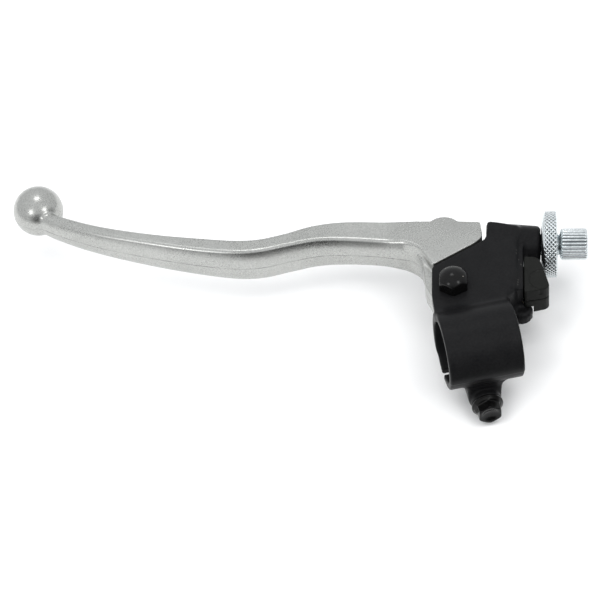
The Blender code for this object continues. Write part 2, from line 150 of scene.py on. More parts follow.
class Axis:
    """A line that turned shapes share: the distance along it and the radius from it."""

    def __init__(self, origin, direction):
        self.origin = np.array(origin, float)
        self.direction = np.array(direction, float) / np.linalg.norm(direction)

    def read(self, p):
        q = [p[i] - self.origin[i] for i in range(3)]
        t = sum(q[i] * self.direction[i] for i in range(3))
        square = sum(q[i] ** 2 for i in range(3)) - t ** 2
        return t, np.sqrt(np.maximum(square, 0.0))

    def rod(self, p, radius, low, high, r=0.05):
        t, out = self.read(p)
        return rounded(out - radius, between(t, low, high), r)

    def cone(self, p, low, high, low_radius, high_radius, r=0.05):
        t, out = self.read(p)
        slope = (high_radius - low_radius) / (high - low)
        wall = (out - low_radius - slope * (t - low)) / math.hypot(1.0, slope)
        return rounded(wall, between(t, low, high), r)


PIVOT_AXIS = Axis((*PIVOT, 0.0), (0, 0, 1))
CABLE_AXIS = Axis((*NIPPLE, 0.0), (*ALONG, 0.0))
BAR_AXIS = Axis((0, 0, 0), (1, 0, 0))


# ---------------------------------------------------------------- meshes
def finished(name, mesh, body, slot, material, *nodes):
    """Link a mesh as a piece that rides on a body, takes a finish and stands for CAD nodes, which it hides; the
    slot is not used.
    """
    mesh.name = name
    mesh.materials.append(material)
    mesh.shade_smooth()
    piece = bpy.data.objects.new(name, mesh)
    bpy.context.scene.collection.objects.link(piece)
    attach(piece, body)
    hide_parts(*nodes)
    return piece


def mesh_from(points, faces):
    """A mesh from points in millimetres and quads."""
    mesh = bpy.data.meshes.new("piece")
    mesh.from_pydata((np.asarray(points) * MM).tolist(), [], faces)
    mesh.update()
    return mesh


CORNERS = np.array([(i, j, k) for i in (0, 1) for j in (0, 1) for k in (0, 1)])
EDGES = [(a, b) for a in range(8) for b in range(a + 1, 8) if np.abs(CORNERS[a] - CORNERS[b]).sum() == 1]
RING = ((0, 0), (1, 0), (1, 1), (0, 1))         # the four cells around a grid edge
RELAXING_ROUNDS = 4


def settle(shape, points, cell, steps):
    """Slide points onto the surface along the shape's gradient, a part of a cell at a time."""
    h, longest, flattest = 0.02 * cell, 0.4 * cell, 0.04
    for _ in range(steps):
        value = shape(tuple(points.T))
        slope = np.empty_like(points)
        for i in range(3):
            ahead, behind = points.copy(), points.copy()
            ahead[:, i] += h
            behind[:, i] -= h
            slope[:, i] = (shape(tuple(ahead.T)) - shape(tuple(behind.T))) / (2.0 * h)
        square = np.maximum((slope ** 2).sum(axis=1), flattest)
        move = np.clip(value / square, -longest, longest)
        points = points - move[:, None] * slope
    return points


def relax(points, quads):
    """Move each point half way to the average of its neighbours, which evens out thin quads."""
    start = quads.ravel()
    total = np.zeros_like(points)
    for turn in (1, 3):
        neighbour = points[quads[:, [(i + turn) % 4 for i in range(4)]].ravel()]
        for i in range(3):
            total[:, i] += np.bincount(start, neighbour[:, i], len(points))
    count = 2.0 * np.bincount(start, minlength=len(points))
    return 0.5 * (points + total / count[:, None])


def skin(shape, low, high, cell):
    """Surface nets: a quad mesh of the surface where shape is zero, inside a box in millimetres."""
    low = (np.floor(np.array(low) / cell) - 0.5) * cell
    count = np.ceil((np.array(high) - low) / cell).astype(int) + 2
    lines = [low[i] + cell * np.arange(count[i]) for i in range(3)]
    grid = (lines[0][:, None, None], lines[1][None, :, None], lines[2][None, None, :])
    field = np.broadcast_to(shape(grid), tuple(count))
    inside = field < 0.0
    filled = sum(inside[i:count[0] - 1 + i, j:count[1] - 1 + j, k:count[2] - 1 + k].astype(np.int8)
                 for i, j, k in CORNERS)
    active = (filled > 0) & (filled < 8)
    cells = np.argwhere(active)
    index = np.full(active.shape, -1)
    index[tuple(cells.T)] = np.arange(len(cells))
    total = np.zeros((len(cells), 3))
    crossings = np.zeros(len(cells))
    for a, b in EDGES:
        first = field[tuple((cells + CORNERS[a]).T)]
        second = field[tuple((cells + CORNERS[b]).T)]
        crosses = (first < 0.0) != (second < 0.0)
        t = np.where(crosses, first / np.where(crosses, first - second, 1.0), 0.0)
        total += crosses[:, None] * (CORNERS[a] + t[:, None] * (CORNERS[b] - CORNERS[a]))
        crossings += crosses
    points = low + cell * (cells + total / crossings[:, None])
    quads = []
    for d in range(3):
        steps = [np.eye(3, dtype=int)[(d + 1) % 3], np.eye(3, dtype=int)[(d + 2) % 3]]
        near = np.take(inside, range(count[d] - 1), axis=d)
        far = np.take(inside, range(1, count[d]), axis=d)
        edges = np.argwhere(near != far)
        outward = near[tuple(edges.T)]
        ring = np.stack([index[tuple((edges - i * steps[0] - j * steps[1]).T)] for i, j in RING], axis=1)
        quads.append(np.where(outward[:, None], ring, ring[:, ::-1]))
    quads = np.concatenate(quads)
    points = settle(shape, points, cell, 2)
    for _ in range(RELAXING_ROUNDS):
        points = settle(shape, relax(points, quads), cell, 1)
    return mesh_from(settle(shape, points, cell, 2), quads.tolist())


def lathe(axis, rows, facets):
    """A closed turned mesh of rows (distance along the axis, radius or a function from angle to radius)."""
    side = np.array((0.0, 0.0, 1.0))
    other = np.cross(axis.direction, side)
    angle = 2.0 * math.pi * np.arange(facets) / facets
    out = np.cos(angle)[:, None] * side + np.sin(angle)[:, None] * other
    points = []
    for t, radius in rows:
        reach = radius(angle) if callable(radius) else np.full(facets, float(radius))
        points.append(axis.origin + t * axis.direction + reach[:, None] * out)
    step = np.arange(facets)
    following = (step + 1) % facets
    faces = []
    for k in range(len(rows)):
        low, high = k * facets, ((k + 1) % len(rows)) * facets
        faces += np.stack([low + step, low + following, high + following, high + step], axis=1).tolist()
    return np.concatenate(points), faces


def merged(*parts):
    """One mesh out of several (points, faces) shells."""
    points, faces = [], []
    start = 0
    for shell_points, shell_faces in parts:
        points.append(shell_points)
        faces += [[start + i for i in face] for face in shell_faces]
        start += len(shell_points)
    return mesh_from(np.concatenate(points), faces)


def arc(centre, radius, start, end, steps):
    """Points on an arc, angles in degrees."""
    angles = np.radians(np.linspace(start, end, steps + 1))
    return [(centre[0] + radius * math.cos(w), centre[1] + radius * math.sin(w)) for w in angles]


def eased(points, r, steps=4):
    """An outline with each corner cut back by r and rounded."""
    made = []
    count = len(points)
    for i in range(count):
        before, here, after = (np.array(points[(i + d) % count], float) for d in (-1, 0, 1))
        back, ahead = before - here, after - here
        a, b = np.linalg.norm(back), np.linalg.norm(ahead)
        reach = min(r, 0.45 * a, 0.45 * b)
        start, end = here + back / a * reach, here + ahead / b * reach
        for k in range(steps + 1):
            t = k / steps
            made.append(tuple((1 - t) ** 2 * start + 2 * t * (1 - t) * here + t ** 2 * end))
    return made


# ---------------------------------------------------------------- sizes the CAD states, in mm
# how far round a CAD node a piece is meshed, and its mesh size
CAST_GRID = (0.8, 0.36)
FINE_GRID = (0.6, 0.2)
SCREW_GRID = (0.4, 0.12)
TERMINAL_GRID = (0.3, 0.12)

PLATE_TOP = 8.5
SLOT_HALF = 4.7
TONGUE_HALF = 4.5
HEAD_HALF = 8.4
HUB_R, WASHER_R = 8.1, 7.4
NIPPLE_R, CABLE_SLOT_HALF = 4.1, 1.5
RING_R, BAR_R, RING_HALF = 13.8, 11.1, 13.5
CLAMP_X, CLAMP_Z = -0.3, -18.6
SLIT_HALF, SLIT_TOP = 1.25, -5.0
SEAT_REAR = -12.0
SEAM_Z = 0.4
SNOUT_A, SNOUT_HALF = (19.5, 29.0), (4.6, 3.7)
SNOUT_GAP = 0.2                 # clearance of the switch's snout in the perch
PLUNGER_B = -18.9
BALL = (-145.4, 105.2, 0.0)
BALL_R = 9.4
THREAD_R = 4.0
PARTING = 0.09                  # height of the casting's parting line
PARTING_HALF = 0.3              # half its width
DIE_STEP = -2.9                 # where the perch's two dies meet, across the ring and the lug
BOLT_BORE, BUSH_BORE, SCREW_HOLE = 3.2, 4.57, 1.45
BOLT_R, BOLT_PITCH, BOLT_RIDGE = 3.0, 1.0, 0.35
SEAT_GAP = 0.2                  # clearance under the heads of the bolts and the screw
HEAD_FLATS = 10.0               # across the flats of the pivot bolt and its nut
THROUGH = 40.0                  # longer than any hole

CLAMP_AXIS = Axis((CLAMP_X, 0.0, CLAMP_Z), (0, 1, 0))
SCREW_AXIS = Axis((*cable(30.2, -26.0), 0.0), (0, 0, 1))
PLUNGER_AXIS = Axis((*cable(0.0, PLUNGER_B), SEAM_Z), (*ALONG, 0.0))
NIPPLE_AXIS = Axis((*NIPPLE, 0.0), (0, 0, 1))


def cable_reading(x, y):
    """How far along the cable from the nipple, and how far forward of it, a plan point is."""
    x, y = x - NIPPLE[0], y - NIPPLE[1]
    return x * ALONG[0] + y * ALONG[1], x * FORWARD[0] + y * FORWARD[1]


def cable_box(p, a, b, z, r=0.2):
    """A rounded box square to the cable."""
    along, forward = cable_reading(p[0], p[1])
    side = rounded(between(along, *a), between(forward, *b), r)
    return rounded(side, between(p[2], *z), r)


def hexagon(u, v, flats, turn=0.0):
    """Distance to a hexagon across its flats; turn 0 puts a corner on +u."""
    walls = []
    for k in range(3):
        w = math.radians(turn + 30.0 + 60.0 * k)
        walls.append(np.abs(u * math.cos(w) + v * math.sin(w)) - 0.5 * flats)
    return common(common(walls[0], walls[1], 0.25), walls[2], 0.25)


def centred(middle, half):
    return middle - half, middle + half


def smoothstep(low, high, value):
    t = np.clip((value - low) / (high - low), 0.0, 1.0)
    return t * t * (3.0 - 2.0 * t)


# ---------------------------------------------------------------- perch
PLATES = eased([
    (-13.2, 2.0), (13.2, 2.0), (13.2, 12.4), (17.0, 15.6),
    cable(26.4, -27.5), cable(27.0, -20.0), cable(27.0, -6.0), cable(27.0, 2.2),
    cable(16.1, 3.9), (13.6, 43.4), (12.0, 41.6), (7.9, 39.7),
    (-8.6, 33.4), (-9.5, 32.6), (-12.4, 20.0), (-13.0, 13.0)], 0.8, 2)
FLANK = [cable(a, b) for a, b in ((24.0, -27.0), (28.8, -27.0), (28.8, -4.0), (24.0, -4.0))]
SLOT = ([(-30.0, PIVOT[1] - HUB_R - 0.75)] + arc(PIVOT, HUB_R + 0.75, 270.0, 345.0, 10)
        + [(13.4, 41.5), cable(16.1, -6.0), cable(16.1, 14.0), (-30.0, 70.0)])
LUG_END, LUG_ROOT = cable(28.0, -27.9), cable(22.0, -24.0)
LUG = arc(LUG_END, 4.2, -120.0, 60.0, 8)
LUG += [(LUG_ROOT[0], LUG_ROOT[1] + 4.0), (LUG_ROOT[0] - 4.0, LUG_ROOT[1] - 4.0)]
EARS = [(-6.6, -8.4), (6.6, -8.4)] + arc((0.0, 0.0), 5.9, 0.0, 180.0, 14)


def perch(p):
    """Clevis plates, adjuster boss, ring, clamp ears and the switch's lug, as one casting."""
    x, y, z = p
    ring = BAR_AXIS.rod(p, RING_R, -RING_HALF, RING_HALF, 0.9)
    # the lower die sits a hair inside the upper one, which leaves a line across the ring
    ring = ring + PARTING * smoothstep(0.15, -0.15, z - DIE_STEP) * smoothstep(0.0, -4.0, y)
    # the plates' edges are crisp at the lever and roll over towards the adjuster and the switch
    a, b = cable_reading(x, y)
    roll = smoothstep(19.0, 26.0, a) * (0.4 + 0.6 * smoothstep(-3.0, -9.0, b))
    plates = slab(p, PLATES, -PLATE_TOP, PLATE_TOP, 0.5 + 2.1 * roll)
    flank = slab(p, FLANK, -6.2, 6.2, 0.7)
    boss = CABLE_AXIS.cone(p, 16.1, 35.2, 8.35, 6.7, 1.5)
    lug = slab(p, LUG, -PLATE_TOP, DIE_STEP, 1.9)
    ears = slab((x - CLAMP_X, CLAMP_Z - z, y), EARS, -9.4, 9.6, 0.7)
    seat = CLAMP_AXIS.rod(p, 5.5, SEAT_REAR, 0.0, 0.4)
    body = both(plates, flank, 1.6)
    body = both(body, boss, 2.4)
    body = both(body, lug, 2.0)
    body = both(body, ring, 2.4)
    body = both(body, both(ears, seat, 1.0), 3.0)
    body = without(body, BAR_AXIS.rod(p, BAR_R, -THROUGH, THROUGH), 0.7)
    slit = np.maximum(np.abs(y) - SLIT_HALF, z - SLIT_TOP)
    body = without(body, slit, 0.4)
    body = without(body, slab(p, SLOT, -SLOT_HALF, SLOT_HALF, 0.3), 0.3)
    body = without(body, PIVOT_AXIS.rod(p, BOLT_BORE, -THROUGH, THROUGH), 0.3)
    body = without(body, CLAMP_AXIS.rod(p, BOLT_BORE, -THROUGH, THROUGH), 0.3)
    body = without(body, CABLE_AXIS.rod(p, THREAD_R + 0.1, 5.0, 45.0), 0.4)
    wide, tall = SNOUT_HALF[0] + SNOUT_GAP, SNOUT_HALF[1] + SNOUT_GAP
    body = without(body, cable_box(p, (SNOUT_A[0] - SNOUT_GAP, 45.0), centred(PLUNGER_B, wide),
                                   centred(SEAM_Z, tall)), 0.2)
    body = without(body, PLUNGER_AXIS.rod(p, 1.9, 5.0, SNOUT_A[0] + 1.0), 0.3)
    return without(body, SCREW_AXIS.rod(p, SCREW_HOLE, -THROUGH, THROUGH), 0.3)


# ---------------------------------------------------------------- lever
# Middle of the blade in plan, width of its flat top, and height, from the ball to the head
BLADE = np.array([
    (-146.5, 101.2, 3.4, 9.6), (-137.9, 93.4, 3.6, 10.6), (-124.8, 84.3, 4.0, 11.8),
    (-107.0, 74.7, 4.7, 13.4), (-90.0, 67.0, 5.9, 14.3), (-76.8, 61.9, 6.2, 15.2),
    (-67.6, 60.1, 6.1, 15.7), (-57.5, 60.5, 6.2, 15.5), (-47.0, 61.2, 7.6, 15.0),
    (-36.5, 59.8, 8.9, 14.5), (-23.0, 55.9, 9.8, 14.2), (-14.0, 52.4, 10.6, 15.6),
    (-7.0, 50.2, 11.0, 16.8)])
BULGE = 1.6                     # how far the blade's front and rear faces stand out
TRIM = 0.1                      # taken off each side, to stay inside the CAD solid


def blade_at(position):
    """Catmull-Rom reading of BLADE at positions counted in stations."""
    i = np.minimum(position.astype(int), len(BLADE) - 2)
    t = (position - i)[..., None]
    last = len(BLADE) - 1
    p0, p1, p2, p3 = (BLADE[np.clip(i + d, 0, last)] for d in (-1, 0, 1, 2))
    return 0.5 * (2 * p1 + (p2 - p0) * t + (2 * p0 - 5 * p1 + 4 * p2 - p3) * t ** 2
                  + (3 * p1 - p0 - 3 * p2 + p3) * t ** 3)


SPINE_AT, SPINE_STEP = np.linspace(0.0, len(BLADE) - 1.0, 97, retstep=True)
SPINE = blade_at(SPINE_AT)


def parting(z):
    """How far the parting line stands out of the lever's sides."""
    return PARTING * np.exp(-(z / PARTING_HALF) ** 2)


def blade(p):
    """The distance to the blade's bulging side, and its half height."""
    x, y, z = p
    shape = np.broadcast(x, y).shape
    nearest, position = np.full(shape, 1e9), np.zeros(shape)
    for (ax, ay), (bx, by), at in zip(SPINE[:, :2], SPINE[1:, :2], SPINE_AT):
        ex, ey = bx - ax, by - ay
        t = np.clip(((x - ax) * ex + (y - ay) * ey) / (ex * ex + ey * ey), 0.0, 1.0)
        away = np.hypot(x - ax - t * ex, y - ay - t * ey)
        closer = away < nearest
        nearest = np.where(closer, away, nearest)
        position = np.where(closer, at + t * SPINE_STEP, position)
    middle_x, middle_y, width, height = np.moveaxis(blade_at(position), -1, 0)
    level = np.clip(2.0 * z / height, -1.0, 1.0)
    reach = 0.5 * width - TRIM + BULGE * (1.0 - level ** 2) + parting(z)
    return np.hypot(x - middle_x, y - middle_y) - reach, 0.5 * height


HEAD = eased([(-12.5, 44.2), (-14.6, 47.5), (-13.4, 56.9)] + arc(NIPPLE, 6.8, 128.0, 28.0, 10)
             + [(12.6, 50.4), (11.8, 43.8), (11.0, 42.6), (8.4, 40.9), (-8.8, 34.3),
                (-9.6, 37.0), (-10.8, 40.6)], 0.6, 2)
TONGUE = arc(PIVOT, HUB_R, 195.0, 345.0, 14) + [
    (11.9, 43.0), (8.0, 47.0), (-8.0, 50.0), (-13.0, 46.0), (-11.9, 39.5), (-11.9, 35.5),
    (-12.7, 30.5), (-12.8, 27.5), (-12.1, 24.0)]


def lever(p):
    """The blade, the head over the perch, the tongue between its plates and the ball, as one casting."""
    x, y, z = p
    tip = ball(p, BALL, BALL_R)
    side, half = blade(p)
    head = outline_distance(x, y, HEAD) - parting(z) * (x < 0.0)
    half = half + (HEAD_HALF - half) * smoothstep(-22.0, -11.0, x)
    side = both(side, head, 0.2 + 2.8 * smoothstep(-7.0, -13.0, x) * smoothstep(53.0, 49.5, y))
    arm = rounded(side, np.abs(z) - half, 0.55 + 0.5 * smoothstep(-9.0, -15.0, x))
    tongue = slab(p, TONGUE, -TONGUE_HALF, TONGUE_HALF, 0.4)
    body = both(arm, tongue, 0.8 + 1.2 * smoothstep(-9.6, -12.0, x))
    body = both(body, tip, 0.9)
    body = without(body, PIVOT_AXIS.rod(p, BUSH_BORE, -THROUGH, THROUGH), 0.3)
    washer_seat = TONGUE_HALF - 0.6
    for low, high in ((washer_seat, washer_seat + 6.0), (-washer_seat - 6.0, -washer_seat)):
        body = without(body, PIVOT_AXIS.rod(p, WASHER_R, low, high), 0.2)
    # the cable's nipple drops in from below, and the cable leaves by a slot
    body = without(body, NIPPLE_AXIS.rod(p, NIPPLE_R, -12.0, 4.6), 0.4)
    return without(body, cable_box(p, (0.0, 20.0), centred(0.0, CABLE_SLOT_HALF), (-12.0, 1.6)), 0.4)


# ---------------------------------------------------------------- bolts and nut
GENTLE = 0.85                   # keeps a threaded wall's distance from being overstated


def thread(axis, p, radius, low, high, pitch, depth):
    """A threaded rod: a ridge that climbs one pitch for each turn."""
    t, out = axis.read(p)
    u = p[0] - axis.origin[0] if abs(axis.direction[0]) < 0.5 else p[2] - axis.origin[2]
    v = p[1] - axis.origin[1] if abs(axis.direction[1]) < 0.5 else p[2] - axis.origin[2]
    phase = (t / pitch - np.arctan2(v, u) / (2.0 * math.pi)) % 1.0
    wall = GENTLE * (out - radius + depth * (1.0 - np.abs(2.0 * phase - 1.0)))
    return rounded(wall, between(t, low, high), 0.25)


def pivot_bolt(p):
    """A hexagon head turned to a dome on top, one flat square to the cable, and a part-threaded shank."""
    seat, head_tall, dome_r = PLATE_TOP + SEAT_GAP, 10.0, 6.3
    square_to_cable = -90.0 + math.degrees(math.atan2(ALONG[1], ALONG[0]))
    flats = hexagon(p[0] - PIVOT[0], p[1] - PIVOT[1], HEAD_FLATS, square_to_cable)
    head = rounded(flats, between(p[2], seat, seat + head_tall), 0.2)
    head = common(head, ball(p, (*PIVOT, seat + 0.75), dome_r), 0.25)
    shank = PIVOT_AXIS.rod(p, BOLT_R, -9.0, seat + 1.0, 0.2)
    threaded = thread(PIVOT_AXIS, p, BOLT_R, -17.0, -8.6, BOLT_PITCH, BOLT_RIDGE)
    return both(both(head, shank, 0.2), threaded, 0.1)


def clamp_bolt(p):
    """A flanged hexagon head with a dished face, and a shank threaded into the far ear."""
    seat = SEAT_REAR - SEAT_GAP
    flats_across, flange_r, head_tall, dish_r = 8.0, 5.7, 5.2, 6.0
    flats = hexagon(p[0] - CLAMP_X, p[2] - CLAMP_Z, flats_across, 30.0)
    head = rounded(flats, between(p[1], seat - head_tall, seat), 0.2)
    head = common(head, CLAMP_AXIS.cone(p, seat - 6.4, seat + 5.0, 3.1, 14.0), 0.3)
    flange = both(CLAMP_AXIS.cone(p, seat - 1.6, seat - 0.5, 4.7, flange_r, 0.1),
                  CLAMP_AXIS.rod(p, flange_r, seat - 0.7, seat, 0.2), 0.2)
    dish = ball(p, (CLAMP_X, seat - 10.2, CLAMP_Z), dish_r)
    body = without(both(flange, head, 0.5), dish, 0.3)
    shank = CLAMP_AXIS.rod(p, BOLT_R, seat - 1.0, -6.0, 0.2)
    threaded = thread(CLAMP_AXIS, p, BOLT_R, -6.4, 9.0, BOLT_PITCH, BOLT_RIDGE)
    return both(both(body, shank, 0.2), threaded, 0.1)


def pivot_nut(p):
    """A nut chamfered at both ends, with a wider bore below for its nylon ring."""
    top, tall = -PLATE_TOP - 1.4, 5.4
    flats = hexagon(p[0] - PIVOT[0], p[1] - PIVOT[1], HEAD_FLATS)
    nut = rounded(flats, between(p[2], top - tall, top), 0.15)
    nut = common(nut, PIVOT_AXIS.cone(p, top - 8.0, top + 0.6, 8.6, 4.75), 0.2)
    nut = common(nut, PIVOT_AXIS.cone(p, top - 6.0, top + 2.0, 4.6, 9.2), 0.2)
    nut = without(nut, PIVOT_AXIS.rod(p, BOLT_BORE, top - 9.0, top + 3.0), 0.2)
    return without(nut, PIVOT_AXIS.rod(p, 4.2, top - 9.0, top - 3.9), 0.2)


# ---------------------------------------------------------------- clutch switch
CASE = eased([cable(a, b) for a, b in (
    (29.1, -28.2), (33.5, -27.4), (37.1, -26.4), (38.2, -25.0), (36.5, -18.2), (35.2, -13.4),
    (33.4, -11.2), (29.1, -10.9))], 0.9, 2)
CASE_TOP, CASE_BASE, SEAM_HALF = 5.9, -5.8, 0.1
LUG_NOTCH = ((25.0, 32.45), (-35.0, -23.2), (-10.0, -2.7))
MARK, MARK_R = cable(35.7, -22.2), 4.8
TERMINAL_B = (PLUNGER_B + 2.8, PLUNGER_B - 2.8)


def switch_case(p, low, high):
    """One half of the case, with its half of the snout and its bores."""
    x, y, z = p
    block = slab(p, CASE, low, high, 0.3 if high < SEAM_Z else 0.45)
    # a shallow groove shows as an arc on the top face
    round_mark = np.abs(np.hypot(x - MARK[0], y - MARK[1]) - MARK_R) - 0.18
    block = block + 0.22 * smoothstep(0.16, -0.1, round_mark) * (z > 3.0)
    reach = (max(low, SEAM_Z - SNOUT_HALF[1]), min(high, SEAM_Z + SNOUT_HALF[1]))
    snout = cable_box(p, (SNOUT_A[0], SNOUT_A[1] + 1.0),
                      centred(PLUNGER_B, SNOUT_HALF[0]), reach)
    case = np.minimum(block, snout)
    case = without(case, cable_box(p, (SNOUT_A[0] + 1.6, 34.6), centred(PLUNGER_B, 3.5),
                                   centred(SEAM_Z, 3.0)), 0.1)
    case = without(case, PLUNGER_AXIS.rod(p, 1.65, 10.0, 25.0), 0.1)
    case = without(case, PLUNGER_AXIS.rod(p, 2.8, 10.0, SNOUT_A[0] + 0.9), 0.1)
    return without(case, SCREW_AXIS.rod(p, SCREW_HOLE, -12.0, 4.4), 0.1)


def upper_case(p):
    return switch_case(p, SEAM_Z + SEAM_HALF, CASE_TOP)


def lower_case(p):
    """The lower half, with a notch over the perch's lug and a slot for each terminal."""
    case = switch_case(p, CASE_BASE, SEAM_Z - SEAM_HALF)
    case = without(case, cable_box(p, *LUG_NOTCH), 0.2)
    for b in TERMINAL_B:
        case = without(case, cable_box(p, (29.8, 33.4), centred(b, 0.5), (-10.0, 0.0), 0.1), 0.1)
    return case


def switch_screw(p):
    """A pan head with a cross recess."""
    base = -PLATE_TOP - SEAT_GAP
    head_r, dome_r = 1.95, 3.1
    middle = SCREW_AXIS.origin
    dome = ball(p, (middle[0], middle[1], base + 1.2), dome_r)
    pan = common(SCREW_AXIS.rod(p, head_r, base - 1.9, base, 0.3), dome, 0.2)
    body = both(pan, thread(SCREW_AXIS, p, 1.25, base - 0.5, 4.0, 0.7, 0.2), 0.1)
    for long, wide in ((1.3, 0.3), (0.3, 1.3)):
        bar = np.maximum(np.abs(p[0] - middle[0]) - long, np.abs(p[1] - middle[1]) - wide)
        body = without(body, np.maximum(bar, p[2] - base + 1.1), 0.1)
    return body


def terminal(b):
    """A flat brass tab: a finger beside the contact bridge and a blade that points down, with a hole."""
    end, thick = 33.2, 0.6

    def tab(p):
        finger = cable_box(p, (25.2, end), centred(b, 0.5 * thick), centred(SEAM_Z, 1.2), 0.12)
        blade = cable_box(p, (30.0, end), centred(b, 0.5 * thick), (-8.3, SEAM_Z), 0.12)
        eye = Axis((*cable(31.6, b), -7.0), (*FORWARD, 0.0)).rod(p, 0.6, -2.0, 2.0)
        return without(np.minimum(finger, blade), eye, 0.1)
    return tab


# ---------------------------------------------------------------- cable adjuster
WHEEL_R, WHEEL_BORE, KNURL_DEPTH, KNURL_PITCH, KNURLS = 12.1, 4.1, 0.5, 1.45, 46
WHEEL_FRONT = WHEEL_A + 5.9
KNOB_A, KNOB_R, RIDGES, RIDGE_DEPTH = (WHEEL_A + 6.8, WHEEL_A + 17.0), 5.8, 26, 0.55
STEM_BACK, STEM_PITCH, STEM_RIDGE = WHEEL_A - 16.0, 1.25, 0.42
SOCKET_R, SOCKET_DEPTH, CABLE_HOLE_R = 3.6, 7.0, 1.8


def wheel():
    """The locknut: a disc with a fine diamond knurl round its rim."""
    back, front = WHEEL_A, WHEEL_FRONT
    start, end, rows = back + 1.5, front - 0.45, 22

    def knurl(t):
        def radius(angle):
            turn = KNURLS * angle
            climb = 2.0 * math.pi * (t - start) / KNURL_PITCH
            cross = np.maximum(np.cos(turn + climb), np.cos(turn - climb))
            return WHEEL_R - KNURL_DEPTH * (1.0 - np.clip(0.5 + 0.62 * cross, 0.0, 1.0))
        return radius

    profile = [(front, WHEEL_BORE + 0.25), (front - 0.3, WHEEL_BORE), (back + 0.3, WHEEL_BORE),
               (back, WHEEL_BORE + 0.3), (back, 7.4), (back + 0.05, 10.2), (back + 0.35, 10.9),
               (back + 1.0, 11.55), (back + 1.35, 11.75)]
    profile += [(t, knurl(t)) for t in np.linspace(start, end, rows + 1)]
    profile += [(front - 0.35, WHEEL_R - 0.35), (front - 0.08, WHEEL_R - 0.75), (front, WHEEL_R - 1.3),
                (front - 0.05, 8.4), (front, 8.0)]
    return mesh_from(*lathe(CABLE_AXIS, profile, 512))


def barrel():
    """The adjuster barrel: a threaded stem behind a ridged knob, bored for the cable."""
    start, end = KNOB_A

    def helix(t):
        def radius(angle):
            phase = (t / STEM_PITCH - angle / (2.0 * math.pi)) % 1.0
            return THREAD_R - STEM_RIDGE * (1.0 - np.abs(2.0 * phase - 1.0)) ** 1.2
        return radius

    turns = np.arange(STEM_BACK, start - 0.3, 0.16)
    stem = [(turns[0] - 0.4, CABLE_HOLE_R), (turns[0] - 0.4, 3.4)] + [(t, helix(t)) for t in turns]
    stem += [(start + 0.4, SOCKET_R), (start + 0.4, CABLE_HOLE_R)]
    # along the rim: place, how far it drops below the knob's radius, and how deep its ridges are
    rim = [(start + 0.55, 0.3, 0.4), (start + 0.95, 0.04, 0.9), (start + 1.3, 0.0, 1.0),
           (end - 1.2, 0.0, 1.0), (end - 0.85, 0.04, 0.9), (end - 0.45, 0.3, 0.4)]
    knob = [(end, SOCKET_R + 0.15), (end - 0.15, SOCKET_R), (end - SOCKET_DEPTH, SOCKET_R),
            (end - SOCKET_DEPTH, CABLE_HOLE_R), (start, CABLE_HOLE_R),
            (start, 3.9), (start, 4.6), (start + 0.1, 4.9)]
    knob += [(t, ridge_row(KNOB_R - drop, RIDGE_DEPTH * share)) for t, drop, share in rim]
    knob += [(end - 0.1, 4.95), (end, 4.6)]
    return merged(lathe(CABLE_AXIS, stem, 96), lathe(CABLE_AXIS, knob, 12 * RIDGES))


def ridge_row(radius, depth):
    """The radius of a row of straight ridges, with rounded crests and narrow valleys."""
    def at(angle):
        wave = np.abs(np.cos(0.5 * RIDGES * angle))
        return radius - depth * (1.0 - wave ** 0.7)
    return at


# ---------------------------------------------------------------- finishes
class Tree:
    """A short way to write shader nodes."""

    def __init__(self, tree):
        self.tree = tree

    def put(self, target, value):
        if isinstance(value, bpy.types.NodeSocket):
            self.tree.links.new(value, target)
        else:
            target.default_value = value

    def node(self, kind, inputs, output=0, **settings):
        made = self.tree.nodes.new("ShaderNode" + kind)
        for key, value in settings.items():
            setattr(made, key, value)
        for key, value in inputs.items():
            self.put(made.inputs[key], value)
        return made.outputs[output]

    def noise(self, place, scale, detail=2.0, roughness=0.55):
        inputs = {"Vector": place, "Scale": scale, "Detail": detail, "Roughness": roughness}
        return self.node("TexNoise", inputs)

    def spread(self, value, low, high, to_low, to_high):
        return self.node("MapRange", {0: value, 1: low, 2: high, 3: to_low, 4: to_high})

    def maths(self, operation, a, b=0.0):
        return self.node("Math", {0: a, 1: b}, operation=operation)

    def mix(self, share, a, b):
        return self.node("Mix", {0: share, 6: a, 7: b}, output=2, data_type="RGBA")


def pitted(t, place, colour, pits):
    """Small dark casting pits, thick in some places and missing in others."""
    spot = t.node("TexVoronoi", {"Vector": place, "Scale": 1500.0})
    drifts = t.spread(t.noise(place, 330.0, 2.0), 0.44, 0.58, 0.0, 0.6)
    holes = t.maths("MULTIPLY", t.spread(spot, 0.16, 0.3, 1.0, 0.0), drifts)
    return t.mix(holes, colour, (*pits, 1.0))


def edge_wear_and_glint(t, place, point, start):
    """How much a sharp outer edge is lightened, partly as wear and partly as a painted highlight; start is the
    pointiness at which this begins.
    """
    uneven = t.maths("MULTIPLY", t.maths("SUBTRACT", t.noise(place, 900.0, 3.0), 0.5), 0.08)
    return t.spread(t.maths("ADD", point, uneven), start, start + 0.03, 0.0, 1.0)


def parting_line(t, place, colour, seam_colour, level):
    """A thin broken line round a casting at one height, in metres."""
    height = t.maths("SUBTRACT", t.node("SeparateXYZ", {0: place}, output=2), level)
    wander = t.maths("MULTIPLY", t.maths("SUBTRACT", t.noise(place, 400.0), 0.5), 0.00015)
    away = t.maths("ABSOLUTE", t.maths("ADD", height, wander))
    broken = t.spread(t.noise(place, 130.0), 0.4, 0.6, 0.3, 1.0)
    line = t.maths("MULTIPLY", t.spread(away, 0.00006, 0.0002, 1.0, 0.0), broken)
    return t.mix(line, colour, (*seam_colour, 1.0))


